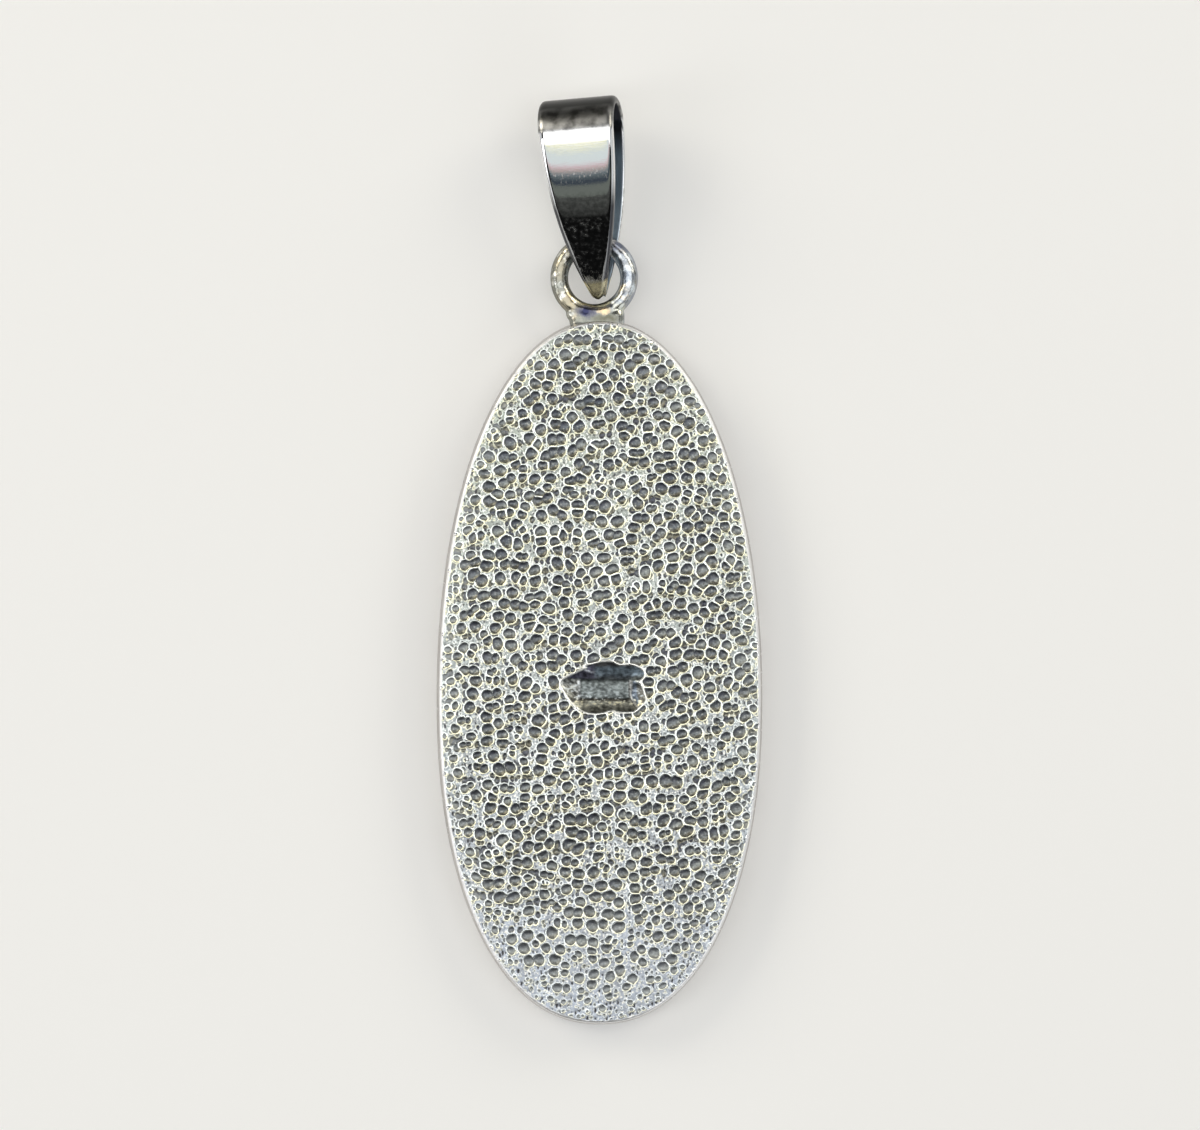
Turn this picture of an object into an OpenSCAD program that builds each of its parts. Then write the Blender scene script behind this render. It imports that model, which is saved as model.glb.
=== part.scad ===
// Oval pendant lying on its plain front face, with its textured back up.
// Sizes are in millimetres. The origin is on the resting face, below the widest part of the plate.
// +Y runs towards the ring and the bail, and +Z comes out of the back.

/* [Plate] */
// Width of the oval across its widest part
plate_w = 16.35; // [14:0.05:22]
// Length from the widest part up to the top edge
plate_up = 19.05; // [17:0.05:24]
// Length from the widest part down to the bottom edge
plate_down = 16.3; // [14:0.05:22]
// Thickness at the middle of the crowned back
plate_t = 2.5; // [2.5:0.05:3]
// Squareness of the upper half of the outline, where 2 is an ellipse
power_up = 2.1; // [2:0.05:2.5]
// Squareness of the lower half of the outline
power_down = 2.2; // [2:0.05:2.5]
// Fall of the back from its middle to its rim
crown = 0.4; // [0.2:0.05:0.5]
// Width of the polished edge seen outside the textured back
back_edge = 0.32; // [0.2:0.01:0.5]
// Width of the softened edge round the front face
front_edge = 0.35; // [0.2:0.01:0.5]

/* [Punch mark] */
// Width of the punched hollow
mark_w = 4.3; // [4:0.1:5]
// Height of the punched hollow
mark_h = 2.55; // [2.4:0.05:3]
// Depth of the hollow's floor below the middle of the back
mark_depth = 0.3; // [0.1:0.05:0.5]
// Width of the flat field left in the hollow
field_w = 2.4; // [2:0.05:2.6]
// Height of the flat field left in the hollow
field_h = 0.9; // [0.8:0.05:1.2]

/* [Ring] */
// Outer diameter of the soldered ring
ring_d = 4.4; // [4:0.05:5]
// Thickness of the ring's wire
ring_wire = 0.9; // [0.7:0.05:0.95]
// Overlap of the ring and the plate's top edge
ring_sink = 0.12; // [0.05:0.01:0.3]
// Sideways place of the ring's centre
ring_x = -0.28; // [-0.5:0.01:0.5]
// Height of the ring's centre above the resting face
ring_z = 1.5; // [1.48:0.01:1.55]
// Width of the solder where it meets the plate
solder_w = 2.7; // [2.2:0.05:3.2]
// Thickness of the solder
solder_t = 1.06; // [1:0.02:1.2]

/* [Bail] */
// Length of the bail from its closed tip to its rounded top
bail_l = 10.2; // [10:0.05:12]
// Width of the strip at the top of the loop
bail_w = 3.85; // [3.2:0.05:4.2]
// Width of the strip at its tip
tip_w = 0.4; // [0.3:0.05:0.6]
// Outer depth of the loop, from front to back
bail_depth = 3.7; // [3.4:0.05:4.2]
// Thickness of the strip
bail_t = 0.42; // [0.35:0.01:0.42]
// Height of the closed tip above the bottom of the ring's hole
tip_gap = 0.2; // [0.15:0.01:0.25]
// Height of the tip's middle above the resting face
tip_z = 1.2; // [1.18:0.01:1.22]
// Sideways place of the tip
tip_x = 0; // [-0.1:0.01:0.1]
// Lean of the bail to the left, in degrees
lean = 6.4; // [0:0.2:8]
// Rise of the bail from its tip to its top, in degrees
rise = 10; // [9.8:0.1:10.5]
// Turn of the bail about its own length, in degrees
roll = 12.2; // [10:0.2:12.4]

/* [Hidden] */

// Points in each half of the plate's outline
half_steps = 44;
// Points in each leg, in the round top and along each side of the bail
leg_steps = 16;
loop_steps = 22;
side_steps = 14;
// How closely those points crowd towards the tip, where 1 is an even spacing
crowding = 1.45;

// Reach of the solder into the plate, and its step back from the ring's hole
solder_sink = 0.2;
solder_clear = 0.05;

ring_r = ring_d / 2;
wire_r = ring_wire / 2;
ring_y = plate_up + ring_r - ring_sink;
hole_r = ring_r - ring_wire;

loop_r = bail_depth / 2;
// Distance from the tip to the centre of the round top
loop_y = bail_l - loop_r;
// Half the depth of the closed tip, just under two thicknesses of strip
tip_half = 0.95 * bail_t;
// How fast the legs spread from the tip, where 1 is a straight leg
leg_power = 3;
// How fast the strip widens from the tip, where 1 is a straight taper
side_power = 2.05;

// Plate profile from the front face round the edge and over the back.
// Columns: inset from the widest outline, height above the resting face.
rim_z = plate_t - crown;
EDGE_ROWS = [
    [front_edge, 0],
    [0.35 * front_edge, 0.2 * front_edge],
    [0, 0.9 * front_edge],
    [0, 0.5 * rim_z],
    [0.4 * back_edge, 0.82 * rim_z],
    [back_edge, rim_z]
];
// How far the fall of the back is kept to its rim, where 2 is an even dome
crown_power = 2.6;
// Share of the way from the rim to the middle at each ring of the crowned back
CROWN_STEPS = [0.1, 0.22, 0.36, 0.52, 0.7];

// Place of the punched hollow's middle on the back
mark_x = 0.15;
mark_y = 0.65;
// Size of the hollow's floor as a share of its mouth, and the fall of the flat field below the floor
floor_share = 0.74;
field_sink = 0.1;
// Mouth of the hollow, clockwise from its left point.
// Columns: distance right and distance up from the middle, as shares of mark_w and mark_h.
MARK_OUTLINE = [
    [-0.5, 0.12],
    [-0.24, 0.33],
    [-0.24, 0.43],
    [0.04, 0.5],
    [0.42, 0.39],
    [0.49, 0.22],
    [0.47, 0.1],
    [0.5, -0.22],
    [0.37, -0.49],
    [0.1, -0.45],
    [-0.07, -0.5],
    [-0.36, -0.3]
];

function power_of(x, p) = sign(x) * pow(abs(x), p);

// One point of the plate's outline, drawn in by an inset
function outline_point(a, inset) =
    let (up = sin(a) >= 0,
         p = 2 / (up ? power_up : power_down),
         reach = (up ? plate_up : plate_down) - inset)
    [(plate_w / 2 - inset) * power_of(cos(a), p), reach * power_of(sin(a), p)];

function outline(inset) = [for (i = [0 : 2 * half_steps - 1]) outline_point(180 * i / half_steps, inset)];

// Height of the back at a share of the way in from the rim
function crown_z(share) = plate_t - crown * pow(1 - share, crown_power);

// Half the depth of the bail at a distance from its tip, up to the round top
function leg_half(y) = tip_half + (loop_r - tip_half) * (1 - pow(1 - y / loop_y, leg_power));
function leg_angle(y) =
    atan((loop_r - tip_half) * leg_power / loop_y * pow(1 - y / loop_y, leg_power - 1));

// Side of the bail, drawn in by an inset: one leg, the round top and the other leg
function leg_side(inset) = [
    for (i = [0 : leg_steps - 1])
        let (y = loop_y * pow(i / leg_steps, crowding), a = leg_angle(y), half = leg_half(y) - inset * cos(a))
        if (half > 0.01) [y + inset * sin(a), half]
];
function loop_top(inset) = [
    for (i = [0 : loop_steps])
        let (a = 90 - 180 * i / loop_steps)
        [loop_y + (loop_r - inset) * cos(a), (loop_r - inset) * sin(a)]
];
function flipped(points) = [for (i = [len(points) - 1 : -1 : 0]) [points[i].x, -points[i].y]];
function bail_side(inset) = concat(leg_side(inset), loop_top(inset), flipped(leg_side(inset)));

// Half the width of the strip at a distance from the tip
function strip_half(y) = (tip_w + (bail_w - tip_w) * (1 - pow(1 - y / bail_l, side_power))) / 2;

// Outline of the strip seen from the back, closed past the round top
function right_edge() = [
    for (i = [0 : side_steps]) let (y = bail_l * pow(i / side_steps, crowding)) [strip_half(y), y]
];
function strip_outline() =
    let (right = concat(right_edge(), [[bail_w / 2, bail_l + 1]]))
    concat(right, [for (i = [len(right) - 1 : -1 : 0]) [-right[i].x, right[i].y]]);

// Solid lofted through closed rings of points with the same count in each
module loft(rings) {
    count = len(rings[0]);
    last = len(rings) - 1;
    polyhedron(
        points = [for (ring = rings) each ring],
        faces = concat(
            [[for (i = [0 : count - 1]) i]],
            [for (r = [0 : last - 1]) for (i = [0 : count - 1])
                let (next = (i + 1) % count)
                [r * count + i, (r + 1) * count + i, (r + 1) * count + next, r * count + next]],
            [[for (i = [count - 1 : -1 : 0]) last * count + i]]
        )
    );
}

module plate_blank() {
    middle = plate_w / 2 - back_edge;
    edge_rings = [for (row = EDGE_ROWS) [for (p = outline(row[0])) [p.x, p.y, row[1]]]];
    crown_rings = [
        for (share = CROWN_STEPS)
            [for (p = outline(back_edge + share * middle)) [p.x, p.y, crown_z(share)]]
    ];
    loft(concat(edge_rings, crown_rings));
}

// Hollow left by a hand punch, with a sloped wall and a flat field that bears nothing
module punch_mark() {
    floor_z = plate_t - mark_depth;
    translate([mark_x, mark_y, floor_z])
        linear_extrude(height = mark_depth + 0.1, scale = 1 / floor_share)
            polygon([for (p = MARK_OUTLINE) floor_share * [mark_w * p[0], mark_h * p[1]]]);
    translate([mark_x + 0.15 - field_w / 2, mark_y - 0.2 - field_h / 2, floor_z - field_sink])
        cube([field_w, field_h, mark_depth]);
}

// Closed ring of round wire, lying in the plane of the plate
module hanging_ring() {
    translate([ring_x, ring_y, ring_z])
        rotate_extrude($fn = 48)
            translate([ring_r - wire_r, 0])
                circle(wire_r, $fn = 24);
}

// Solder that fills the corners between the ring and the plate's top edge
module solder() {
    foot = solder_w / 2;
    neck = 0.84 * foot;
    translate([ring_x, ring_y, ring_z])
        difference() {
            translate([0, 0, -solder_t / 2])
                linear_extrude(height = solder_t)
                    polygon([
                        [-foot, -ring_r - solder_sink],
                        [foot, -ring_r - solder_sink],
                        [neck, -hole_r],
                        [-neck, -hole_r]
                    ]);
            cylinder(r = hole_r + solder_clear, h = 2 * solder_t, center = true, $fn = 48);
        }
}

module oval_plate() {
    color("silver") {
        difference() {
            plate_blank();
            punch_mark();
        }
        solder();
        hanging_ring();
    }
}

// Folded strip in its own place: tip at the origin, length along +Y, depth along Z
module bail_strip() {
    intersection() {
        rotate([90, 0, 90])
            translate([0, 0, -bail_w])
                linear_extrude(height = 2 * bail_w)
                    difference() {
                        polygon(bail_side(0));
                        polygon(bail_side(bail_t));
                    }
        translate([0, 0, -bail_depth])
            linear_extrude(height = 2 * bail_depth)
                polygon(strip_outline());
    }
}

module bail() {
    color("gainsboro")
        translate([tip_x, ring_y - hole_r + tip_gap, tip_z])
            rotate([rise, 0, lean])
                rotate([0, -roll, 0])
                    bail_strip();
}

oval_plate();
bail();
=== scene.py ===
import math

import bmesh
import bpy
import numpy as np
from mathutils import Matrix, Quaternion, Vector


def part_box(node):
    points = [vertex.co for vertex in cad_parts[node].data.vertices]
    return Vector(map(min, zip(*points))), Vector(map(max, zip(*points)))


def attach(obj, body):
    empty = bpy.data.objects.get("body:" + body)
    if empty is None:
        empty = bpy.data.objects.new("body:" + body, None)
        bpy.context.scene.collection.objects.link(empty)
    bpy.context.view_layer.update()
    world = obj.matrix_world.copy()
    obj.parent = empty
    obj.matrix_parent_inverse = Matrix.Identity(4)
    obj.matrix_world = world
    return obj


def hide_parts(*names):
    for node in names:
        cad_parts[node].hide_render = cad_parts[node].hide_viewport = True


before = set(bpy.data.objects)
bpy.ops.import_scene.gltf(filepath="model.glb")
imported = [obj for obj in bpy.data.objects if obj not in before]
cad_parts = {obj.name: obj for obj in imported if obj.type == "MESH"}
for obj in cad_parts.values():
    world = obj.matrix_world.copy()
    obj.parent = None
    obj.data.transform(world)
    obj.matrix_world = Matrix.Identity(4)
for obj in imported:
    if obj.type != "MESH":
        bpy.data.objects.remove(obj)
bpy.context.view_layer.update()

# The plate is one piece of cast sterling silver, a long oval about 2.5 mm thick. It lies on its plain
# flat front. Its back is gently crowned, and the casting left it covered in small round pits, except
# for a polished rim. The finisher rubbed it over, so the high parts are bright and the pits are grey.

MM = 0.001
plate_low, plate_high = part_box("oval_plate")
half_width = plate_high.x
reach_down = -plate_low.y
reach_up = 19.05 * MM
power_up, power_down = 2.1, 2.2
middle_height, rim_height = 2.5 * MM, 2.1 * MM
crown_power = 2.6
back_edge = 0.2 * MM
columns, rows = 196, 424

# Rounded wall from the back's rim down to the flat front: inset from the outline and height, in mm
WALL = [
    (0.16, 2.07),
    (0.115, 1.97),
    (0.08, 1.74),
    (0.05, 1.4),
    (0.0, 1.0),
    (0.0, 0.55),
    (0.015, 0.3),
    (0.065, 0.13),
    (0.15, 0.045),
    (0.25, 0.01),
    (0.35, 0.0),
    (1.2, 0.0),
]


def half_of(along):
    """Reach and squareness of the half of the outline that a place along the plate falls in."""
    return (reach_up, power_up) if along >= 0 else (reach_down, power_down)


def on_outline(across, along, inset):
    """Takes a direction on the unit circle to the plate's outline, drawn in by the inset."""
    reach, power = half_of(along)
    x = math.copysign(abs(across) ** (2 / power), across) * (half_width - inset)
    y = math.copysign(abs(along) ** (2 / power), along) * (reach - inset)
    return x, y


def oval_back(bm):
    """A fine square net, rounded to the oval and crowned."""
    bmesh.ops.create_grid(bm, x_segments=columns, y_segments=rows, size=1.0)
    for vert in bm.verts:
        u, v = vert.co.x, vert.co.y
        across = u * math.sqrt(1 - v * v / 2)
        along = v * math.sqrt(1 - u * u / 2)
        share = math.hypot(across, along)
        if share > 1e-9:
            x, y = on_outline(across / share, along / share, back_edge)
            vert.co = (x * share, y * share, 0)
        vert.co.z = middle_height - (middle_height - rim_height) * min(share, 1) ** crown_power


def grow(bm, edges):
    """Extrudes a loop of edges where it is. Returns its new points and its new border."""
    grown = bmesh.ops.extrude_edge_only(bm, edges=edges)["geom"]
    points = [item for item in grown if isinstance(item, bmesh.types.BMVert)]
    border = [item for item in grown if isinstance(item, bmesh.types.BMEdge) and item.is_boundary]
    return points, border


def wall_and_front(bm):
    """Draws the net's border down round the edge and closes it with the flat front."""
    border = [edge for edge in bm.edges if edge.is_boundary]
    for inset, height in WALL:
        points, border = grow(bm, border)
        for vert in points:
            x, y = vert.co.x, vert.co.y
            reach, power = half_of(y)
            across, along = abs(x) / half_width, abs(y) / reach
            share = (across**power + along**power) ** (1 / power)
            turn_x = math.copysign((across / share) ** (power / 2), x)
            turn_y = math.copysign((along / share) ** (power / 2), y)
            vert.co = (*on_outline(turn_x, turn_y, inset * MM), height * MM)
    bmesh.ops.holes_fill(bm, edges=border)


def add_piece(bm, name):
    """Turns a finished bmesh into a smooth-shaded piece at the origin."""
    mesh = bpy.data.meshes.new(name)
    bmesh.ops.recalc_face_normals(bm, faces=bm.faces)
    bm.to_mesh(mesh)
    bm.free()
    for face in mesh.polygons:
        face.use_smooth = True
    piece = bpy.data.objects.new(name, mesh)
    bpy.context.scene.collection.objects.link(piece)
    return piece


# The punched hollow and the flat field in it: middle on the back, width and height, and depths, in mm
MARK_MIDDLE = (0.15, 0.65)
MARK_SIZE = (4.3, 2.55)
mark_depth, field_depth = 0.3, 0.05
slope_power = 0.9
corner_cut = 0.22
FIELD_CORNERS = [(-1.08, -0.58), (1.28, -0.58), (1.28, 0.33), (-1.08, 0.33)]

# Mouth of the hollow, clockwise from its left point, as shares of its width and height
MARK_OUTLINE = [
    (-0.487, 0.126),
    (-0.468, 0.159),
    (-0.306, 0.29),
    (-0.235, 0.345),
    (-0.17, 0.373),
    (-0.242, 0.415),
    (-0.126, 0.453),
    (-0.009, 0.5),
    (0.107, 0.497),
    (0.185, 0.431),
    (0.249, 0.431),
    (0.34, 0.442),
    (0.43, 0.377),
    (0.482, 0.29),
    (0.482, 0.203),
    (0.43, 0.13),
    (0.35, 0.1),
    (0.43, 0.08),
    (0.4625, -0.037),
    (0.495, -0.211),
    (0.495, -0.277),
    (0.43, -0.385),
    (0.353, -0.4945),
    (0.172, -0.49),
    (0.094, -0.439),
    (-0.009, -0.516),
    (-0.151, -0.516),
    (-0.242, -0.473),
    (-0.332, -0.353),
    (-0.397, -0.233),
    (-0.461, -0.059),
    (-0.5, 0.05),
]


def distance_outside(points, corners):
    """Distance in mm of each point from a closed outline, less than zero inside it."""
    nearest = np.full(len(points), 1e9)
    inside = np.zeros(len(points), bool)
    for start, end in zip(corners, np.roll(corners, -1, axis=0)):
        side = end - start
        to_point = points - start
        along = np.clip((to_point @ side) / (side @ side), 0, 1)
        nearest = np.minimum(nearest, np.linalg.norm(to_point - along[:, None] * side, axis=1))
        crosses = (start[1] > points[:, 1]) != (end[1] > points[:, 1])
        slope = side[0] / side[1] if side[1] else 0.0
        inside ^= crosses & (points[:, 0] < start[0] + slope * (points[:, 1] - start[1]))
    return np.where(inside, -nearest, nearest)


def rounded(corners):
    """The same outline with its corners cut twice."""
    near, far = 1 - corner_cut, corner_cut
    for _ in range(2):
        after = np.roll(corners, -1, axis=0)
        cut = [near * corners + far * after, far * corners + near * after]
        corners = np.stack(cut, axis=1).reshape(-1, 2)
    return corners


def smooth(values, low, high):
    """An eased step from 0 at the low value to 1 at the high one."""
    share = np.clip((values - low) / (high - low), 0, 1)
    return share * share * (3 - 2 * share)


def press_mark(mesh):
    """Sinks the hand punch's hollow and stores how far each point lies from it and from the rim."""
    points = np.array([vert.co for vert in mesh.vertices]) / MM
    plan = points[:, :2]
    from_mark = distance_outside(plan, rounded(np.array(MARK_OUTLINE) * MARK_SIZE + MARK_MIDDLE))
    from_field = distance_outside(plan, np.array(FIELD_CORNERS) + MARK_MIDDLE)
    reach = np.where(plan[:, 1] >= 0, reach_up, reach_down) / MM
    power = np.where(plan[:, 1] >= 0, power_up, power_down)
    across, along = np.abs(plan[:, 0]) / (half_width / MM), np.abs(plan[:, 1]) / reach
    share = (across**power + along**power) ** (1 / power)
    steepness = np.hypot(across * MM / half_width, along / reach) / np.maximum(share, 1e-6)
    from_edge = (1 - share) / np.maximum(steepness, 0.02)
    on_back = points[:, 2] > rim_height / MM - 0.001
    from_edge[~on_back] = 0
    into_mark = np.clip(-from_mark, 0, None)
    down_slope = into_mark / (into_mark + np.clip(from_field, 0.001, None))
    sink = mark_depth * np.sin(down_slope * math.pi / 2) ** slope_power
    sink += field_depth * smooth(-from_field, -0.05, 0.05)
    points[:, 2] -= np.where(on_back & (from_mark < 0), sink, 0)
    mesh.vertices.foreach_set("co", (points * MM).astype(np.float32).ravel())
    for name, values in (("from_mark", from_mark), ("from_edge", from_edge)):
        mesh.attributes.new(name, "FLOAT", "POINT").data.foreach_set("value", values.astype(np.float32))


class Nodes:
    """Short ways to add nodes to a tree. Each gives back what the new node puts out."""

    def __init__(self, tree, easing="LINEAR"):
        self.tree = tree
        self.easing = easing

    def set(self, socket, value):
        if isinstance(value, bpy.types.NodeSocket):
            self.tree.links.new(value, socket)
        elif socket.type == "RGBA":
            socket.default_value = (*value, 1)
        else:
            socket.default_value = value

    def add(self, kind, inputs=None, **settings):
        made = self.tree.nodes.new(kind)
        for key, setting in settings.items():
            setattr(made, key, setting)
        for key, value in (inputs or {}).items():
            self.set(made.inputs[key], value)
        return made.outputs

    def calc(self, operation, *values):
        return self.add("ShaderNodeMath", dict(enumerate(values)), operation=operation)[0]

    def times(self, first, *others):
        for other in others:
            first = self.calc("MULTIPLY", first, other)
        return first

    def ramp(self, value, low, high, to_low=0.0, to_high=1.0):
        span = {"Value": value, "From Min": low, "From Max": high, "To Min": to_low, "To Max": to_high}
        return self.add("ShaderNodeMapRange", span, interpolation_type=self.easing)[0]

    def vector(self, operation, *values):
        return self.add("ShaderNodeVectorMath", dict(enumerate(values)), operation=operation)[0]

    def measure(self, operation, *values):
        return self.add("ShaderNodeVectorMath", dict(enumerate(values)), operation=operation)[1]

    def scale(self, vector, amount):
        return self.add("ShaderNodeVectorMath", {0: vector, "Scale": amount}, operation="SCALE")[0]

    def parts(self, vector):
        return self.add("ShaderNodeSeparateXYZ", {0: vector})

    def noise(self, place, scale, detail, **settings):
        inputs = {"Vector": place, "Scale": scale, "Detail": detail}
        return self.add("ShaderNodeTexNoise", inputs, **settings)

    def cells(self, place, feature, freedom):
        inputs = {"Vector": place, "Scale": 1.0, "Randomness": freedom}
        return self.add("ShaderNodeTexVoronoi", inputs, voronoi_dimensions="2D", feature=feature)

    def jostled(self, place, scale, detail, amount, **settings):
        """The place, pushed about at random by up to half the amount."""
        push = self.vector("SUBTRACT", self.noise(place, scale, detail, **settings)["Color"], (0.5,) * 3)
        return self.vector("MULTIPLY_ADD", push, (amount,) * 3, place)

    def mix(self, amount, first, second):
        return self.add("ShaderNodeMix", {0: amount, 6: first, 7: second}, data_type="RGBA")[2]

    def layers(self, colour, tints):
        """Lays tints over a colour one by one, each by its own amount."""
        for amount, tint in tints:
            colour = self.mix(amount, colour, tint)
        return colour


def new_group(kind, name, takes, gives, easing="LINEAR"):
    """An empty node group: ways to add to it, what it is given, and where its results go."""
    tree = bpy.data.node_groups.new(name, kind)
    for way, sockets in (("INPUT", takes), ("OUTPUT", gives)):
        for title, value in sockets.items():
            tree.interface.new_socket(title, in_out=way, socket_type="NodeSocket" + value)
    given = tree.nodes.new("NodeGroupInput").outputs
    result = tree.nodes.new("NodeGroupOutput").inputs
    return Nodes(tree, easing), given, result


# Cast pits, small pits and rim dashes: cells to a millimetre across and up, and how freely each lies in
# its cell, where 1 is anywhere
pit_cells, pit_freedom = (1.5, 1.57, 0.0), 0.84
small_cells, small_freedom = (3.0, 2.6, 0.0), 1.0
dash_cells, dash_freedom = (5.2, 2.8, 0.0), 0.9

# Half the wall between two pits, and how much less it is where they join, in shares of a cell
wall_share, joined_share = 0.07, 0.16
# Neighbours side by side join where their two chances add up to more than this
join_above = 0.66
# Radius of the widest pit, in shares of a cell
widest_pit = 0.45
# Height in mm below which the back is worn smoother, and where that wear is full
worn_from, worn_to = -8.0, -15.5
pit_depth = 0.12 * MM


def cast_pits(kind, name):
    """Node group that works out the cast pits at a place given in mm, for the mesh and for the finish.

    Round pits sit one to a cell, with a thin wall kept where two meet. Some walls are left out, which
    joins neighbours into troughs. Small pits fill the land between, and dashes line the rim.
    """
    takes = {"Place": "Vector", "From edge": "Float", "From mark": "Float"}
    gives = dict.fromkeys(("Depth", "Floor", "Lip", "Shade", "Specks", "Tone", "Centre"), "Float")
    nodes, given, result = new_group(kind, name, takes, gives, easing="SMOOTHSTEP")
    calc, ramp, times = nodes.calc, nodes.ramp, nodes.times
    place, from_edge, from_mark = given["Place"], given["From edge"], given["From mark"]

    across, upward, _ = nodes.parts(place)
    border = times(ramp(upward, worn_to, worn_from, 2.0, 0.85), ramp(across, -7.5, -4.0, 1.7, 1.0))
    worn = ramp(from_edge, 0.0, border)

    bent = place
    for scale, amount in ((0.35, 0.55), (3.2, 0.07), (7.5, 0.035)):
        bent = nodes.jostled(bent, scale, 1.0, amount, noise_dimensions="2D")
    in_cells = nodes.vector("MULTIPLY", bent, pit_cells)
    pit = nodes.cells(in_cells, "F1", pit_freedom)
    beside = nodes.cells(in_cells, "F2", pit_freedom)
    room = nodes.cells(in_cells, "N_SPHERE_RADIUS", pit_freedom)["Radius"]
    to_wall = nodes.cells(in_cells, "DISTANCE_TO_EDGE", pit_freedom)["Distance"]
    size_chance, depth_chance, join_chance = nodes.parts(pit["Color"])
    join_chance_beside = nodes.parts(beside["Color"])[2]
    step = nodes.vector("ABSOLUTE", nodes.vector("SUBTRACT", beside["Position"], pit["Position"]))
    step_across, step_up, _ = nodes.parts(step)
    side_by_side = calc("GREATER_THAN", step_across, times(step_up, 0.9))
    joined = calc("GREATER_THAN", calc("ADD", join_chance, join_chance_beside), join_above)
    wall = calc("MULTIPLY_ADD", times(joined, side_by_side), -joined_share, wall_share)
    size = times(room, ramp(size_chance, 0.0, 1.0, 0.92, 1.38))
    top_share = ramp(upward, -9.0, 12.0)
    size = calc("MINIMUM", calc("ADD", size, ramp(top_share, 0.0, 1.0, 0.0, 0.07)), widest_pit)
    size = times(size, ramp(upward, -15.0, worn_from, 0.92, 1.0), calc("POWER", worn, 0.5))
    in_pit = calc("SUBTRACT", size, pit["Distance"])
    in_pit = calc("SMOOTH_MIN", in_pit, calc("SUBTRACT", to_wall, wall), 0.08)
    in_pit = times(in_pit, 0.67)

    small_place = nodes.jostled(place, 2.0, 1.0, 0.16, noise_dimensions="2D")
    small_place = nodes.vector("MULTIPLY", small_place, small_cells)
    small = nodes.cells(small_place, "F1", small_freedom)
    small_size = nodes.cells(small_place, "N_SPHERE_RADIUS", small_freedom)["Radius"]
    small_size = times(small_size, ramp(nodes.parts(small["Color"])[0], 0.0, 0.5, 0.0, 1.25))
    small_size = times(small_size, ramp(upward, -14.5, worn_from, 0.45, 1.0))
    in_small = times(calc("SUBTRACT", small_size, small["Distance"]), 0.35)
    in_small = calc("MINIMUM", in_small, calc("SUBTRACT", -0.07, in_pit))
    in_small = calc("MINIMUM", in_small, calc("SUBTRACT", from_edge, 0.3))
    inside = calc("MAXIMUM", in_pit, in_small)
    inside = calc("MINIMUM", inside, calc("SUBTRACT", from_mark, 0.06))

    bowl = calc("ADD", ramp(inside, -0.02, 0.11, 0.0, 0.75), ramp(inside, 0.05, 0.3, 0.0, 0.25))
    deep = times(ramp(depth_chance, 0.0, 1.0, 0.6, 1.0), ramp(upward, -16.0, worn_from, 0.65, 1.0))
    depth = times(bowl, deep, ramp(worn, 0.0, 1.0, 0.35, 1.0))
    # Painted shade side: how far a point lies towards its pit's upper left, used to paint shade there
    # and light on the lower right
    upper_left = nodes.vector("SUBTRACT", in_cells, pit["Position"])
    upper_left = nodes.measure("DOT_PRODUCT", upper_left, (-0.45, 0.9, 0.0))
    shade = calc("DIVIDE", upper_left, calc("MAXIMUM", size, 0.1))

    dash_place = nodes.jostled(place, 2.5, 1.0, 0.1, noise_dimensions="2D")
    dash = nodes.cells(nodes.vector("MULTIPLY", dash_place, dash_cells), "F1", dash_freedom)
    dash_size = ramp(nodes.parts(dash["Color"])[0], 0.1, 1.0, 0.0, 0.42)
    dash_size = times(dash_size, ramp(from_edge, 0.9, 2.2, 1.0, 0.7))
    specks = ramp(calc("SUBTRACT", dash_size, dash["Distance"]), 0.0, 0.14)
    specks = times(specks, ramp(inside, -0.1, -0.05, 1.0, 0.0))
    specks = times(specks, ramp(from_edge, 0.24, 0.3), ramp(from_mark, 0.08, 0.2))

    lip = times(ramp(inside, -0.08, -0.04), ramp(inside, -0.012, 0.02, 1.0, 0.0))
    lip = times(lip, ramp(calc("SUBTRACT", in_pit, in_small), -0.03, 0.0, 0.55, 1.0))
    lip = times(lip, ramp(upward, -15.0, worn_from, 0.65, 1.0))
    nodes.set(result["Depth"], calc("MAXIMUM", depth, times(specks, 0.3)))
    nodes.set(result["Floor"], ramp(inside, -0.01, 0.035))
    nodes.set(result["Lip"], lip)
    nodes.set(result["Shade"], ramp(shade, -1.0, 1.0))
    nodes.set(result["Specks"], specks)
    nodes.set(result["Tone"], depth_chance)
    # Centre is used to paint shade in a ring just inside each pit's edge
    nodes.set(result["Centre"], ramp(inside, 0.03, 0.13))
    return nodes.tree


def sink_pits(plate):
    """Moves the back's points down into the pits, and keeps the result as the plate's own mesh."""
    shape = {"Geometry": "Geometry"}
    nodes, given, result = new_group("GeometryNodeTree", "sink_pits", shape, shape)
    inputs = {"Place": nodes.scale(nodes.add("GeometryNodeInputPosition")[0], 1 / MM)}
    for title, name in (("From edge", "from_edge"), ("From mark", "from_mark")):
        inputs[title] = nodes.add("GeometryNodeInputNamedAttribute", {"Name": name})["Attribute"]
    pits = cast_pits("GeometryNodeTree", "cast_pits_for_mesh")
    depth = nodes.add("GeometryNodeGroup", inputs, node_tree=pits)["Depth"]
    down = nodes.scale((0, 0, -pit_depth), depth)
    moved = nodes.add("GeometryNodeSetPosition", {"Geometry": given[0], "Offset": down})[0]
    nodes.set(result[0], moved)
    plate.modifiers.new("sink_pits", "NODES").node_group = nodes.tree
    shown = plate.evaluated_get(bpy.context.evaluated_depsgraph_get())
    finished = bpy.data.meshes.new_from_object(shown)
    plate.modifiers.clear()
    plate.data = finished


bm = bmesh.new()
oval_back(bm)
wall_and_front(bm)
plate = add_piece(bm, "pitted_plate")
press_mark(plate.data)
sink_pits(plate)


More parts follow.
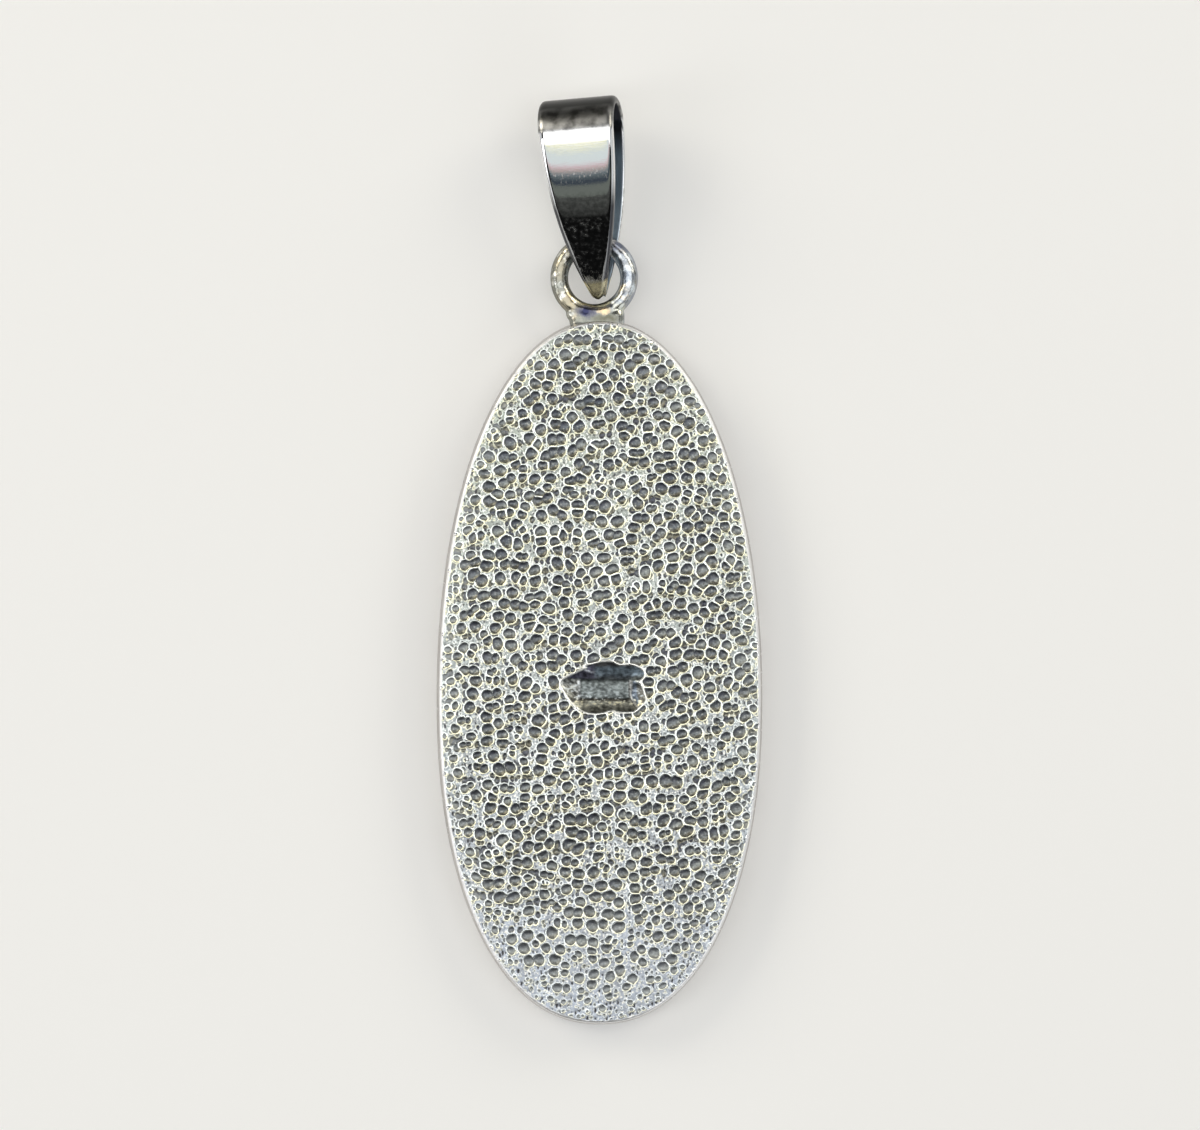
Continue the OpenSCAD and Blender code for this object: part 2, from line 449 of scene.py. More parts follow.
def new_material(name):
    """An empty material, ways to add nodes to it, and the sockets of its Principled surface."""
    material = bpy.data.materials.new(name)
    material.use_nodes = True
    surface = material.node_tree.nodes["Principled BSDF"].inputs
    return material, Nodes(material.node_tree), surface


def place_in_mm(nodes):
    return nodes.scale(nodes.add("ShaderNodeTexCoord")["Object"], 1 / MM)


def silver_grain():
    """Shared finish of the worked silver: fine rubbing scratches and a faint cloudy tarnish."""
    gives = {"Scratches": "Float", "Cloud": "Float"}
    nodes, given, result = new_group("ShaderNodeTree", "silver_grain", {"Place": "Vector"}, gives)
    stretch = {"Vector": given["Place"], "Rotation": (0, 0, 0.35), "Scale": (1.4, 22.0, 1.4)}
    stretched = nodes.add("ShaderNodeMapping", stretch)[0]
    nodes.set(result["Scratches"], nodes.noise(stretched, 2.0, 4.0)[0])
    nodes.set(result["Cloud"], nodes.noise(given["Place"], 0.5, 3.0)[0])
    return nodes.tree


grain = silver_grain()

# Painted shade, highlights and tarnish in the punched hollow, bottom to top and over its left and right
# slopes: mm and colour
HOLLOW_COLUMN = [
    (-0.7, (0.07, 0.068, 0.055)),
    (-0.5, (0.17, 0.173, 0.15)),
    (-0.28, (0.28, 0.285, 0.25)),
    (-0.17, (0.43, 0.435, 0.37)),
    (-0.09, (0.27, 0.27, 0.23)),
    (-0.03, (0.12, 0.115, 0.10)),
    (0.06, (0.075, 0.08, 0.075)),
    (0.15, (0.19, 0.215, 0.215)),
    (0.88, (0.20, 0.225, 0.22)),
    (1.0, (0.08, 0.09, 0.09)),
    (1.16, (0.07, 0.08, 0.09)),
    (1.33, (0.24, 0.30, 0.35)),
    (1.58, (0.26, 0.33, 0.39)),
    (1.74, (0.10, 0.105, 0.11)),
    (1.9, (0.07, 0.07, 0.07)),
]
LEFT_SLOPE = [
    (-2.0, (0.42, 0.43, 0.41)),
    (-1.5, (0.31, 0.32, 0.30)),
    (-1.14, (0.22, 0.225, 0.215)),
    (-1.07, (0.36, 0.38, 0.38)),
    (-1.01, (0.33, 0.35, 0.35)),
    (-0.95, (0.12, 0.13, 0.14)),
]
RIGHT_SLOPE = [
    (1.38, (0.06, 0.06, 0.06)),
    (1.46, (0.08, 0.08, 0.08)),
    (1.51, (0.40, 0.41, 0.40)),
    (1.57, (0.34, 0.35, 0.34)),
    (1.63, (0.14, 0.165, 0.20)),
    (1.76, (0.28, 0.34, 0.42)),
    (1.88, (0.18, 0.18, 0.165)),
    (2.3, (0.22, 0.212, 0.18)),
]


def stops(nodes, value, low, high, table):
    """Colours along a line, from a table of places in mm and colours."""
    made = nodes.tree.nodes.new("ShaderNodeValToRGB")
    nodes.set(made.inputs[0], nodes.ramp(value, low, high))
    points = made.color_ramp.elements
    for _ in table[2:]:
        points.new(0.5)
    for point, (where, colour) in zip(points, table):
        point.position = (where - low) / (high - low)
        point.color = (*colour, 1)
    return made.outputs[0]


def hollow_light_and_tarnish(nodes, place):
    """The punched hollow's colours: its tarnished slopes with painted shade, its grey field, and painted
    highlights on its edges.
    """
    calc, ramp, times, mix = nodes.calc, nodes.ramp, nodes.times, nodes.mix
    bent_x, bent_y, _ = nodes.parts(nodes.jostled(place, 2.6, 2.0, 0.32))
    slant = ramp(bent_y, -0.6, 0.2, 0.5, 0.0)
    from_left, from_right = calc("ADD", bent_x, slant), calc("SUBTRACT", bent_x, slant)
    at_left = times(ramp(bent_y, 1.12, 1.0), ramp(from_left, -0.92, -1.02))
    at_right = times(ramp(bent_y, 1.0, 0.9), ramp(from_right, 1.38, 1.46))

    streaks = {"Vector": place, "Rotation": (0, 0, 0.785), "Scale": (0.12, 0.4, 1.0)}
    streaks = nodes.add("ShaderNodeMapping", streaks, vector_type="TEXTURE")[0]
    streaks = ramp(nodes.noise(streaks, 1.0, 2.0)[0], 0.36, 0.66, 0.45, 2.0)
    left_slope = nodes.scale(stops(nodes, from_left, -2.05, -0.9, LEFT_SLOPE), streaks)
    right_slope = stops(nodes, from_right, 1.35, 2.4, RIGHT_SLOPE)
    # Painted shade: a dark patch on the upper left of the hollow
    upper_left = times(ramp(bent_y, 1.04, 1.14), ramp(bent_x, -0.1, -0.4))
    # Painted highlight: a light line along a ridge at the upper left
    ridge = calc("ADD", calc("MULTIPLY_ADD", bent_x, 0.33, bent_y), -1.27)
    ridge = times(ramp(calc("ABSOLUTE", ridge), 0.08, 0.02), ramp(bent_x, -0.15, -0.5))
    hollow = nodes.layers(stops(nodes, bent_y, -0.75, 1.95, HOLLOW_COLUMN), (
        (at_left, left_slope),
        (at_right, right_slope),
        (upper_left, (0.11, 0.11, 0.15)),
        (ridge, (0.60, 0.63, 0.70)),
    ))

    patches = nodes.noise(place, 2.7, 4.0)[0]
    hollow = nodes.scale(hollow, ramp(patches, 0.36, 0.64, 0.55, 1.5))
    grooves = {"Vector": place, "Rotation": (0, 0, -0.5), "Scale": (4.6, 7.0, 1.0)}
    grooves = nodes.noise(nodes.add("ShaderNodeMapping", grooves)[0], 1.0, 3.0)[0]
    hollow = nodes.scale(hollow, ramp(grooves, 0.36, 0.58, ramp(bent_y, 0.0, 0.2, 0.45, 0.6), 1.25))
    # Painted glints: bright dashes below the field and along the left and right slopes
    shine = times(ramp(bent_y, 0.45, 0.0, 0.25, 1.0), ramp(bent_y, -0.38, -0.2))
    shine = calc("MAXIMUM", calc("MAXIMUM", shine, at_left), at_right)
    shine = times(shine, ramp(bent_y, 1.0, 0.9), ramp(grooves, 0.56, 0.64))
    shine = times(shine, ramp(bent_y, 0.0, 0.2, 0.95, 0.6))
    return mix(shine, hollow, mix(ramp(bent_y, -0.1, 0.1), (0.92, 0.88, 0.64), (0.80, 0.88, 0.92)))


def wall_tarnish(nodes, place, cloud):
    """The side wall's colours: brownish silver with lines left by the file."""
    brushed = nodes.noise(nodes.vector("MULTIPLY", place, (0.9, 0.9, 24.0)), 1.0, 3.0)[0]
    wall = nodes.mix(nodes.ramp(cloud, 0.0, 1.0, 0.2, 0.8), (0.30, 0.265, 0.25), (0.50, 0.475, 0.45))
    return nodes.layers(wall, (
        (nodes.ramp(brushed, 0.5, 0.68, 0.0, 0.75), (0.86, 0.85, 0.82)),
        (nodes.ramp(brushed, 0.44, 0.3, 0.0, 0.6), (0.17, 0.15, 0.145)),
    ))


def pitted_silver():
    """Cast silver: bright land and lips, grey oxide in the pits with painted shade and highlights,
    brownish tarnish on the wall.
    """
    material, nodes, surface = new_material("pitted_silver")
    ramp, times, mix, layers = nodes.ramp, nodes.times, nodes.mix, nodes.layers
    place = place_in_mm(nodes)
    across, upward, height = nodes.parts(place)
    edge = nodes.add("ShaderNodeAttribute", attribute_name="from_edge")["Fac"]
    mark = nodes.add("ShaderNodeAttribute", attribute_name="from_mark")["Fac"]
    pits = cast_pits("ShaderNodeTree", "cast_pits_for_finish")
    given = {"Place": place, "From edge": edge, "From mark": mark}
    pits = nodes.add("ShaderNodeGroup", given, node_tree=pits)
    cloud = nodes.add("ShaderNodeGroup", {"Place": place}, node_tree=grain)["Cloud"]
    cloud = ramp(cloud, 0.35, 0.65)
    streaks = nodes.noise(nodes.vector("MULTIPLY", place, (0.9, 0.22, 0.0)), 1.0, 4.0)[0]
    fine = nodes.noise(place, 6.0, 3.0)[0]
    grit = nodes.noise(place, 8.5, 2.0)[0]

    # Painted tint of the light: the land is greener towards the top and bluer towards the bottom
    land = mix(ramp(upward, -12.0, 12.0), (0.65, 0.72, 0.82), (0.62, 0.69, 0.59))
    land = mix(ramp(streaks, 0.38, 0.7), mix(0.6, (0.28, 0.28, 0.28), land), land)
    # Painted shade: the land greys towards the middle of the back, away from the edge
    land = mix(ramp(edge, 0.6, 3.5, 0.0, 0.22), land, (0.36, 0.37, 0.37))
    grainy = ramp(upward, -14.5, worn_from, 0.3, 1.0)
    land = layers(land, (
        (times(ramp(fine, 0.56, 0.40), grainy), mix(0.58, (0.12, 0.12, 0.13), land)),
        (times(ramp(grit, 0.42, 0.32), grainy), (0.13, 0.13, 0.12)),
        # Painted glints: bright white specks in the land
        (ramp(grit, 0.56, 0.64), (1.0, 1.0, 0.94)),
    ))
    # Painted light: the pit floors are lighter near the edge, most on the left
    near_edge = times(ramp(edge, 1.6, 0.3, 0.0, 0.35), ramp(across, -7.0, -4.0, 1.5, 1.0))
    oxide = layers(mix(ramp(upward, -10.0, 10.0), (0.17, 0.185, 0.18), (0.13, 0.15, 0.175)), (
        (cloud, (0.25, 0.27, 0.285)),
        (ramp(pits["Tone"], 0.4, 0.05, 0.0, 0.6), (0.42, 0.45, 0.42)),
        # Painted light: a brownish lit side at each pit's lower right
        (ramp(pits["Shade"], 0.3, 0.05), (0.28, 0.265, 0.20)),
        (ramp(grit, 0.45, 0.3), (0.13, 0.13, 0.12)),
        # Painted glints: light specks on the pit floors
        (ramp(grit, 0.54, 0.72), (0.55, 0.57, 0.52)),
        # Painted shade: a dark crescent at each pit's upper left
        (ramp(pits["Shade"], 0.5, 0.95, 0.0, 0.75), (0.09, 0.095, 0.135)),
        # Painted shade: a darker ring just inside each pit's edge, lighter towards its middle
        (ramp(pits["Centre"], 0.0, 1.0, 0.45, 0.0), (0.07, 0.075, 0.08)),
        (ramp(upward, -7.0, -17.0, 0.0, 0.5), (0.50, 0.53, 0.54)),
        (near_edge, (0.50, 0.53, 0.52)),
    ))
    front = ramp(height, 0.12, 0.03)
    colour = layers(land, (
        (pits["Floor"], oxide),
        (pits["Specks"], (0.10, 0.10, 0.11)),
        # Lips: rubbed bright silver, with a painted warm highlight on their lower-right side
        (pits["Lip"], mix(ramp(pits["Shade"], 0.5, 0.1), (0.95, 1.0, 0.97), (1.0, 0.97, 0.70))),
        (ramp(mark, 0.0, -0.05), hollow_light_and_tarnish(nodes, place)),
        (times(ramp(mark, 0.1, 0.05), ramp(mark, -0.01, 0.02)), (0.97, 0.97, 0.92)),
        (ramp(edge, 0.27, 0.24), (0.95, 0.95, 0.95)),
        (ramp(height, 2.06, 1.93), wall_tarnish(nodes, place, cloud)),
        (front, (0.88, 0.88, 0.87)),
    ))
    nodes.set(surface["Base Color"], colour)
    nodes.set(surface["Metallic"], 1.0)
    rough = nodes.calc("MULTIPLY_ADD", front, -0.12, ramp(height, 1.93, 2.06, 0.28, 0.44))
    nodes.set(surface["Roughness"], nodes.calc("MULTIPLY_ADD", pits["Lip"], -0.26, rough))
    raised = nodes.calc("MULTIPLY_ADD", pits["Lip"], 0.35, times(fine, 0.6))
    raised = nodes.calc("MULTIPLY_ADD", pits["Floor"], -0.8, raised)
    relief = nodes.add("ShaderNodeBump", {"Height": raised, "Strength": 0.8, "Distance": 0.03 * MM})
    nodes.set(surface["Normal"], relief[0])
    return material


plate.data.materials.append(pitted_silver())
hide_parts("oval_plate")
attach(plate, "root")

# The hanging ring is round silver wire, bent up and soldered shut on the plate's top edge. The solder
# ran up both sides of the joint, and was left a little lumpy and dull.

ring_middle = Vector((-0.28, 21.13, 1.5)) * MM
ring_bend, wire_thick = 1.75 * MM, 0.45 * MM

# Solder: place from the ring's middle, and half-lengths, all in mm
SOLDER = [
    ((0.14, -2.02, 0.0), (1.38, 0.6, 0.46)),
    ((-0.98, -1.78, 0.0), (0.43, 0.43, 0.43)),
]
solder_round = 0.4 * MM
melt_grain, melt_rounds = 0.04 * MM, 20

bm = bmesh.new()
bmesh.ops.create_circle(bm, segments=28, radius=wire_thick)
bmesh.ops.rotate(bm, verts=bm.verts, matrix=Matrix.Rotation(math.pi / 2, 3, "X"))
bmesh.ops.translate(bm, verts=bm.verts, vec=(ring_bend, 0, 0))
bmesh.ops.spin(bm, geom=bm.edges[:], axis=(0, 0, 1), angle=2 * math.pi, steps=96, use_merge=True)
for place, half in SOLDER:
    lump = bmesh.ops.create_cube(bm, size=2.0)["verts"]
    bmesh.ops.scale(bm, verts=lump, vec=Vector(half) * MM)
    bmesh.ops.translate(bm, verts=lump, vec=Vector(place) * MM)
    corners = list({edge for vert in lump for edge in vert.link_edges})
    bmesh.ops.bevel(
        bm, geom=corners, offset=solder_round, segments=5, profile=0.5, affect="EDGES", material=-1
    )
bmesh.ops.translate(bm, verts=bm.verts, vec=ring_middle)
ring = add_piece(bm, "soldered_ring")
melt = ring.modifiers.new("melt", "REMESH")
melt.mode = "VOXEL"
melt.voxel_size = melt_grain
melt.use_smooth_shade = True
flow = ring.modifiers.new("flow", "SMOOTH")
flow.factor = 0.5
flow.iterations = melt_rounds

# Torch stains on the solder, and painted shade and highlights on it and on the ring by the bail: place
# and half-lengths in mm, and colour
SOLDER_STAINS_AND_SHADING = [
    # Painted shade at the foot of the solder, along the plate's edge
    ((-0.2, 19.12, 1.95), (2.0, 0.8, 1.0), (0.31, 0.32, 0.28)),
    ((-0.5, 19.42, 1.95), (0.6, 0.3, 1.0), (0.30, 0.30, 0.33)),
    # Painted shade on a dark hollow facet of the solder
    ((-0.7, 19.43, 1.95), (0.6, 0.36, 1.0), (0.055, 0.06, 0.125)),
    # Painted shade along the foot of the solder
    ((0.35, 19.1, 1.95), (0.9, 0.26, 1.0), (0.17, 0.17, 0.13)),
    ((0.2, 19.5, 1.95), (0.36, 0.2, 1.0), (0.92, 0.72, 0.44)),
    # Painted highlight where the solder meets the ring on the right
    ((0.95, 19.6, 1.8), (0.4, 0.35, 1.0), (0.85, 0.86, 0.74)),
    # Painted shade on the ring beside the bail
    ((1.0, 22.75, 1.9), (0.7, 0.45, 1.0), (0.16, 0.18, 0.24)),
]


def solder_silver():
    """Dull silver with a warm bloom, stains from the torch, and painted shade and highlights."""
    material, nodes, surface = new_material("solder_silver")
    ramp, mix = nodes.ramp, nodes.mix
    place = place_in_mm(nodes)
    right, _, high = nodes.parts(place)
    cloud = nodes.add("ShaderNodeGroup", {"Place": place}, node_tree=grain)["Cloud"]
    bloom = nodes.noise(place, 2.1, 5.0)[0]
    warm = nodes.noise(place, 0.9, 2.0)[0]
    # Painted tint of the light: the silver is drawn lighter and bluer towards the right
    cold = ramp(right, -1.5, 1.2)
    dull = mix(cold, (0.30, 0.31, 0.28), (0.34, 0.38, 0.44))
    dull = mix(ramp(cloud, 0.4, 0.6), dull, (0.52, 0.46, 0.33))
    clean = mix(cold, (0.93, 0.93, 0.86), (0.88, 0.93, 0.95))
    clean = mix(ramp(warm, 0.54, 0.64), clean, (0.98, 0.80, 0.52))
    colour = mix(ramp(bloom, ramp(right, -2.0, 1.2, 0.52, 0.46), 0.62), dull, clean)
    # Painted shade: darker below a height of about 1.6 to 1.86 mm, on the lower sides of the wire and
    # solder
    colour = mix(ramp(high, 1.86, 1.6), colour, mix(cold, (0.15, 0.15, 0.13), (0.30, 0.33, 0.39)))
    ragged = nodes.jostled(place, 3.0, 2.0, 0.5)
    for spot, reach, tint in SOLDER_STAINS_AND_SHADING:
        from_spot = nodes.vector("DIVIDE", nodes.vector("SUBTRACT", ragged, spot), reach)
        colour = mix(ramp(nodes.measure("LENGTH", from_spot), 1.1, 0.3), colour, tint)
    nodes.set(surface["Base Color"], colour)
    nodes.set(surface["Metallic"], 1.0)
    nodes.set(surface["Roughness"], 0.26)
    lumps = {"Height": nodes.noise(place, 1.1, 2.0)[0], "Strength": 0.8, "Distance": 0.17 * MM}
    nodes.set(surface["Normal"], nodes.add("ShaderNodeBump", lumps)[0])
    return material


ring.data.materials.append(solder_silver())
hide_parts("oval_plate")
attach(ring, "root")

# The bail is one tapered strip of silver sheet, folded over a round former into a drop-shaped loop and
# passed through the ring. Its two ends are pinched together and closed, and it is polished all over.

# Sizes in mm, in the bail's own place: tip at the origin, length along Y, depth along Z
bail_long, bail_wide, tip_wide = 10.2, 3.85, 0.52
loop_radius, strip_thick = 1.85, 0.42
leg_power, side_power = 3.0, 2.25
outer_round, inner_round = 0.26, 0.09
tip_half = 0.95 * strip_thick
loop_middle = bail_long - loop_radius
bail_tip = Vector((0, 20.03, 1.2)) * MM
lean, rise, roll = math.radians(6.4), math.radians(10), math.radians(-12.2)
bail_turn = Matrix.Rotation(lean, 3, "Z") @ Matrix.Rotation(rise, 3, "X")
bail_turn = bail_turn @ Matrix.Rotation(roll, 3, "Y")
leg_points, loop_points, strip_columns = 60, 64, 26
# How closely the points of a leg crowd towards the tip, where 1 is an even spacing
crowding = 1.45
# Length over which the tip is rounded off seen from the back, and how much of its width goes
tip_curve, tip_narrow = 0.3, 0.9
# Length over which the tip is pinched seen from the side, and how much of its depth goes
pinch_curve, pinch = 0.48, 0.12
# Blunt end of the tip from the side: distance from the tip and half the depth. It takes the place of
# the leg's first few points.
BLUNT_END = [(0.0, 0.1), (0.04, 0.24)]
blunt_points = 3
# Fall of the strip's middle across its width, as a share of the depth
cross_dome = 0.016
# Length over which the two legs are closed, and share of the width that counts as the inside
closed_long, inside_share = 2.5, 0.96


def strip_half(y):
    """Half the width of the strip at a distance from its tip, which is rounded off."""
    taper = (tip_wide + (bail_wide - tip_wide) * (1 - max(0, 1 - y / bail_long) ** side_power)) / 2
    return taper * math.sqrt(1 - tip_narrow * max(0, 1 - y / tip_curve) ** 2)


def bail_side(inset):
    """Points round the loop from the side, from the blunt tip over the round top and back."""
    leg = [] if inset else BLUNT_END[:]
    for i in range(0 if inset else blunt_points, leg_points):
        y = loop_middle * (i / leg_points) ** crowding
        left = 1 - y / loop_middle
        half = tip_half + (loop_radius - tip_half) * (1 - left**leg_power)
        half *= 1 - pinch * max(0, 1 - y / pinch_curve) ** 2
        slope = math.atan((loop_radius - tip_half) * leg_power / loop_middle * left ** (leg_power - 1))
        leg.append((y + inset * math.sin(slope), max(half - inset * math.cos(slope), 0.012)))
    top = []
    for i in range(loop_points + 1):
        turn = math.pi / 2 - math.pi * i / loop_points
        reach = loop_radius - inset
        top.append((loop_middle + reach * math.cos(turn), reach * math.sin(turn)))
    return leg + top + [(y, -z) for y, z in reversed(leg)]


def strip_skin(bm, inset):
    """One skin of the strip: the side outline drawn across its width. Returns its two borders."""
    side = bail_side(inset)
    had = set(bm.verts)
    loop = bmesh.ops.create_circle(bm, segments=len(side))["verts"]
    for vert, (y, z) in zip(loop, side):
        vert.co = (-strip_half(y), y, z)
    left_border = list({edge for vert in loop for edge in vert.link_edges})
    border = left_border
    for column in range(1, strip_columns + 1):
        points, border = grow(bm, border)
        share = -math.cos(math.pi * column / strip_columns)
        for vert in points:
            vert.co.x = strip_half(vert.co.y) * share
    if inset:
        for vert in set(bm.verts) - had:
            vert[is_inside] = float(abs(vert.co.x) < inside_share * strip_half(vert.co.y))
    return left_border, border


bm = bmesh.new()
is_inside = bm.verts.layers.float.new("is_inside")
at_border = bm.verts.layers.float.new("at_border")
from_tip = bm.verts.layers.float.new("from_tip")
outer_left, outer_right = strip_skin(bm, 0)
outer = set(bm.verts)
inner_left, inner_right = strip_skin(bm, strip_thick)
bmesh.ops.bridge_loops(bm, edges=outer_left + inner_left)
bmesh.ops.bridge_loops(bm, edges=outer_right + inner_right)
bmesh.ops.recalc_face_normals(bm, faces=bm.faces)
bm.normal_update()
for vert in bm.verts:
    round_off = outer_round if vert in outer else inner_round
    half = strip_half(vert.co.y)
    to_edge = max(0, half - abs(vert.co.x))
    past_round = max(0, 1 - to_edge / round_off)
    if vert.co.z > 0 or vert.co.y < closed_long:
        vert[at_border] = past_round
    vert[from_tip] = vert.co.y
    outward = Vector((0, vert.normal.y, vert.normal.z)).normalized()
    vert.co -= outward * (round_off * (1 - math.sqrt(1 - past_round**2)))
    vert.co.z *= 1 - cross_dome * (1 - to_edge / half) ** 2
bmesh.ops.scale(bm, verts=bm.verts, vec=(MM, MM, MM))
bmesh.ops.rotate(bm, verts=bm.verts, matrix=bail_turn)
bmesh.ops.translate(bm, verts=bm.verts, vec=bail_tip)
bail = add_piece(bm, "folded_bail")


def polished_silver():
    """Mirror polish with fine scratches; painted shade on the round top, the lower borders and the
    inside; a painted gold highlight and a darker end at the tip.
    """
    material, nodes, surface = new_material("polished_silver")
    ramp, times, mix, layers = nodes.ramp, nodes.times, nodes.mix, nodes.layers
    place = place_in_mm(nodes)
    scratches = nodes.add("ShaderNodeGroup", {"Place": place}, node_tree=grain)["Scratches"]
    from_tip = nodes.add("ShaderNodeAttribute", attribute_name="from_tip")["Fac"]
    inside = nodes.add("ShaderNodeAttribute", attribute_name="is_inside")["Fac"]
    border = nodes.add("ShaderNodeAttribute", attribute_name="at_border")["Fac"]
    speck = nodes.noise(place, 5.0, 4.0)[0]
    blotch = ramp(nodes.noise(place, 1.6, 4.0)[0], 0.38, 0.62)

    # Painted shade: the round top is painted dark, darkest at the very top
    painted_dark_top_share = ramp(from_tip, 8.75, 8.95)
    painted_dark_top = layers(mix(blotch, (0.22, 0.22, 0.215), (0.66, 0.66, 0.65)), (
        (ramp(from_tip, 9.1, 9.5), mix(blotch, (0.10, 0.10, 0.095), (0.34, 0.34, 0.33))),
        (ramp(from_tip, 9.5, 9.95), (0.04, 0.04, 0.039)),
    ))
    haze = mix(ramp(speck, 0.35, 0.65), (0.55, 0.56, 0.54), (0.95, 0.95, 0.93))
    colour = layers(mix(ramp(from_tip, 5.8, 5.3), (0.86, 0.86, 0.86), haze), (
        (painted_dark_top_share, painted_dark_top),
        # Painted shade: the borders of the lower legs are painted dark
        (times(ramp(border, 0.1, 0.45), ramp(from_tip, 6.3, 4.9)), (0.09, 0.092, 0.10)),
        # Painted highlight: a gold tint near the tip, then darker at the very end
        (ramp(from_tip, 1.15, 0.95), (0.76, 0.70, 0.48)),
        (ramp(from_tip, 0.6, 0.1), (0.16, 0.145, 0.09)),
        # Inside face: grey-blue, with painted shade that darkens it towards the top of the loop
        (inside, mix(ramp(from_tip, 7.0, 8.3), (0.38, 0.45, 0.51), (0.07, 0.07, 0.08))),
    ))
    nodes.set(surface["Base Color"], colour)
    nodes.set(surface["Metallic"], 1.0)

    scuffs = nodes.noise(nodes.vector("MULTIPLY", place, (13.0, 6.0, 8.0)), 1.0, 0.0)[0]
    scuffs = times(ramp(scuffs, 0.6, 0.8), ramp(from_tip, 5.7, 6.7), ramp(from_tip, 6.95, 6.8))
    dusty = times(ramp(speck, 0.46, 0.7), ramp(from_tip, 4.6, 4.2))
    rough = ramp(scratches, 0.45, 0.75, 0.02, 0.06)
    for part, amount in (
        (ramp(from_tip, 1.3, 1.0), 0.12),
        (painted_dark_top_share, 0.28),
        (inside, 0.26),
        (scuffs, 0.15),
        (ramp(from_tip, 5.2, 4.4), 0.03),
        (dusty, 0.16),
    ):
        rough = nodes.calc("MULTIPLY_ADD", part, amount, rough)
    nodes.set(surface["Roughness"], rough)
    scored = {"Height": scratches, "Strength": 0.02, "Distance": 0.01 * MM}
    nodes.set(surface["Normal"], nodes.add("ShaderNodeBump", scored)[0])
    return material


bail.data.materials.append(polished_silver())
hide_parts("bail")
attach(bail, "root")

# The pendant lies on a plain pale studio floor under soft boxes, seen from straight above.

bm = bmesh.new()
bmesh.ops.create_grid(bm, x_segments=1, y_segments=1, size=1.5)
floor = add_piece(bm, "floor")
paper, nodes, surface = new_material("pale_paper")
pale = (0.76, 0.76, 0.75)
nodes.set(surface["Base Color"], pale)
nodes.set(surface["Roughness"], 0.9)
nodes.set(surface["Emission Color"], pale)
nodes.set(surface["Emission Strength"], 0.28)
floor.data.materials.append(paper)

world = bpy.data.worlds.new("studio")
bpy.context.scene.world = world
world.use_nodes = True
room_light = world.node_tree.nodes["Background"].inputs
room_light["Color"].default_value = (0.95, 0.97, 1.0, 1)
room_light["Strength"].default_value = 0.006

# Soft boxes: name, place, place aimed at, width and height, all in metres, then turn in degrees,
# power in watts and colour
LIGHTS = [
    ("overhead_box", (0.0, 0.029, 0.6), (0.0, 0.029, 0.0), 0.84, 0.362, 0, 1.55, (1.0, 1.0, 1.0)),
    ("far_card", (0.38, 0.7, 0.3), (0.0, 0.0, 0.0), 1.0, 0.5, 0, 1.1, (1.0, 0.98, 0.95)),
    ("high_far_card", (-0.35, 0.5, 0.6), (0.0, 0.0, 0.0), 0.5, 0.3, 0, 0.14, (1.0, 1.0, 1.0)),
    ("low_near_card", (0.29, -0.66, 0.3), (0.0, 0.0, 0.0), 0.6, 0.4, 0, 0.3, (1.0, 1.0, 1.0)),
    ("corner_card", (-0.55, -0.5, 0.3), (0.0, 0.0, 0.0), 0.4, 0.36, 0, 0.23, (1.0, 1.0, 1.0)),
    ("tip_card", (-0.15, -0.68, 0.285), (0.0, 0.02, 0.0), 0.24, 0.1, 0, 0.03, (1.0, 0.97, 0.86)),
    ("right_card", (0.66, -0.3, 0.36), (0.0, 0.0, 0.0), 1.1, 0.6, 0, 1.4, (0.95, 0.98, 1.0)),
    ("left_card", (-0.7, 0.0, 0.3), (0.0, 0.0, 0.0), 0.8, 0.5, 0, 0.8, (0.97, 0.98, 1.0)),
    ("left_strip", (-0.45, -0.12, 0.33), (0.0, 0.0, 0.0), 0.12, 0.3, 0, 0.3, (1.0, 1.0, 1.0)),
    ("left_fill", (-0.45, 0.3, 0.3), (0.0, 0.0, 0.0), 0.3, 0.3, 0, 1.2, (1.0, 0.93, 0.78)),
    ("right_fill", (0.42, 0.32, 0.3), (0.0, 0.0, 0.0), 0.3, 0.3, 0, 0.8, (1.0, 0.93, 0.78)),
]

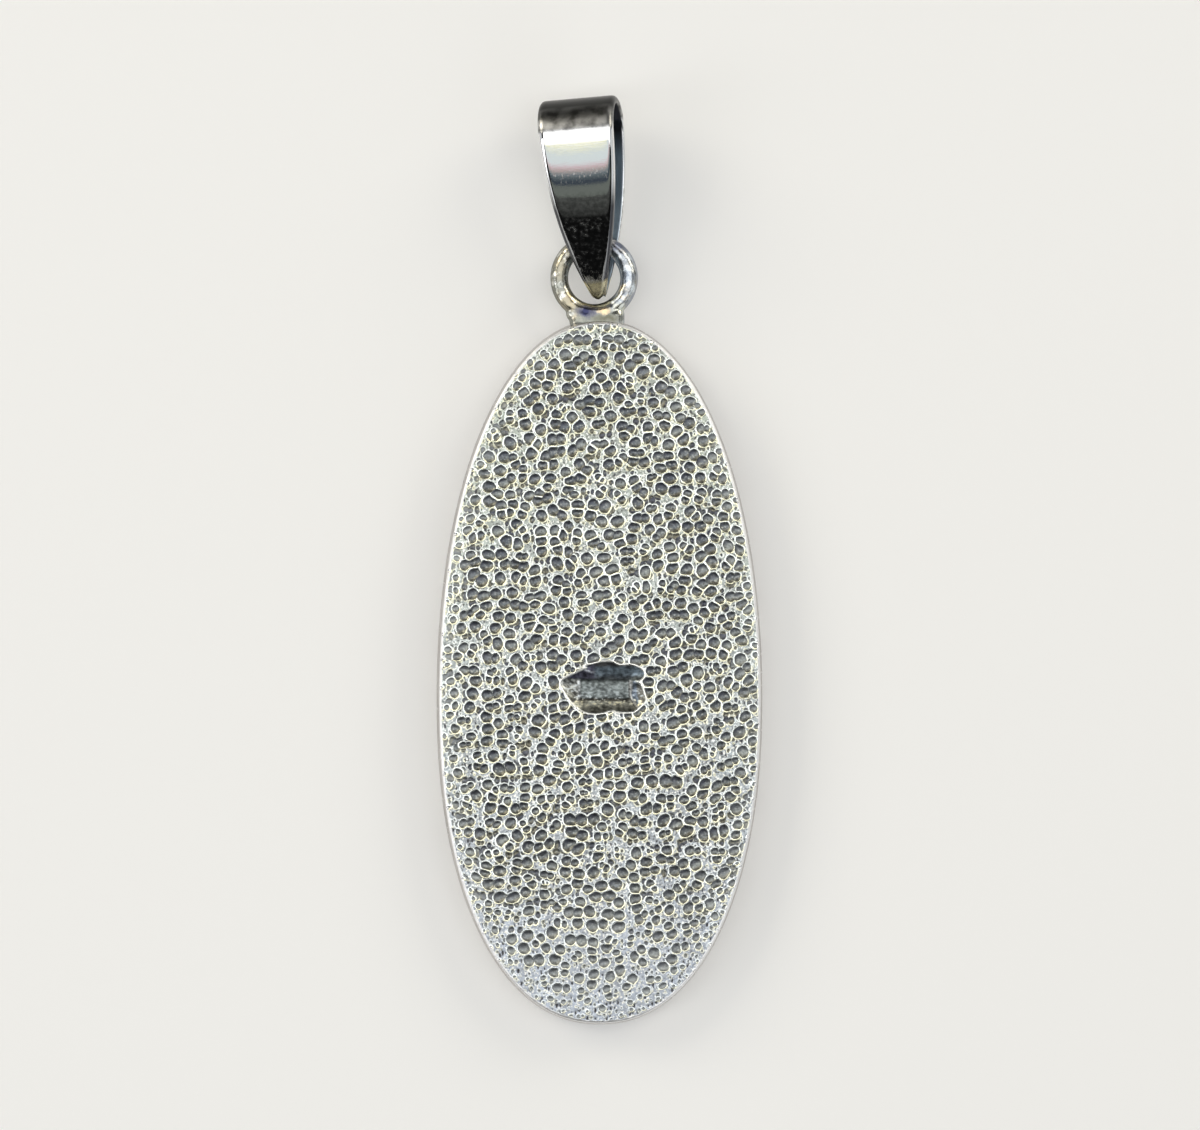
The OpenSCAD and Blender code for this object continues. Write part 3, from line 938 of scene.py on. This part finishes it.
# Paper edges below the overhead box, seen in the bail: where each starts and ends along Y, and its glow
FRINGES = [
    (-0.142, -0.177, (1.30, 1.30, 1.25)),
    (-0.177, -0.1795, (1.15, 1.14, 0.72)),
    (-0.1795, -0.182, (0.84, 0.83, 0.62)),
    (-0.182, -0.199, (0.72, 0.79, 0.79)),
    (-0.199, -0.2045, (0.69, 0.52, 0.56)),
    (-0.2045, -0.211, (0.46, 0.38, 0.35)),
    (-0.211, -0.218, (0.21, 0.245, 0.26)),
    (-0.218, -0.227, (0.09, 0.115, 0.125)),
    (-0.227, -0.241, (0.042, 0.054, 0.07)),
    (-0.241, -0.277, (0.135, 0.15, 0.135)),
    (-0.277, -0.305, (0.062, 0.065, 0.062)),
    (-0.305, -0.332, (0.05, 0.052, 0.05)),
    (-0.332, -0.362, (0.035, 0.036, 0.035)),
]
fringe_wide, fringe_turn = 0.56, 8.5
fringe_across, fringe_shift, fringe_high = -0.14, 0.015, 0.6
for start, end, glow in FRINGES:
    deep, peak = start - end, max(glow)
    power = peak * math.pi * fringe_wide * deep
    colour = tuple(part / peak for part in glow)
    place = (fringe_across, (start + end) / 2 + fringe_shift, fringe_high)
    LIGHTS.append(("fringe", place, (*place[:2], 0.0), fringe_wide, deep, fringe_turn, power, colour))

for name, place, aim, width, height, turn, power, colour in LIGHTS:
    lamp = bpy.data.lights.new(name, "AREA")
    lamp.shape = "RECTANGLE"
    lamp.size, lamp.size_y = width, height
    lamp.energy = power
    lamp.color = colour
    holder = bpy.data.objects.new(name, lamp)
    holder.location = place
    holder.rotation_mode = "QUATERNION"
    facing = (Vector(aim) - Vector(place)).to_track_quat("-Z", "Y")
    holder.rotation_quaternion = Quaternion((0, 0, 1), math.radians(turn)) @ facing
    bpy.context.scene.collection.objects.link(holder)

pixels_wide, pixels_per_mm = 1200, 20
aim = Vector((0, 6.75, 2.1)) * MM
camera_far = 0.3
camera_left = math.radians(1.2)
lens = bpy.data.cameras.new("camera")
lens.sensor_width = 36
lens.lens = lens.sensor_width * camera_far / (pixels_wide / pixels_per_mm * MM)
lens.clip_start = 0.01
camera = bpy.data.objects.new("camera", lens)
camera.location = aim + Vector((-math.sin(camera_left), 0, math.cos(camera_left))) * camera_far
camera.rotation_euler = (0, -camera_left, 0)
bpy.context.scene.collection.objects.link(camera)
bpy.context.scene.camera = camera
bpy.context.scene.view_settings.view_transform = "Standard"
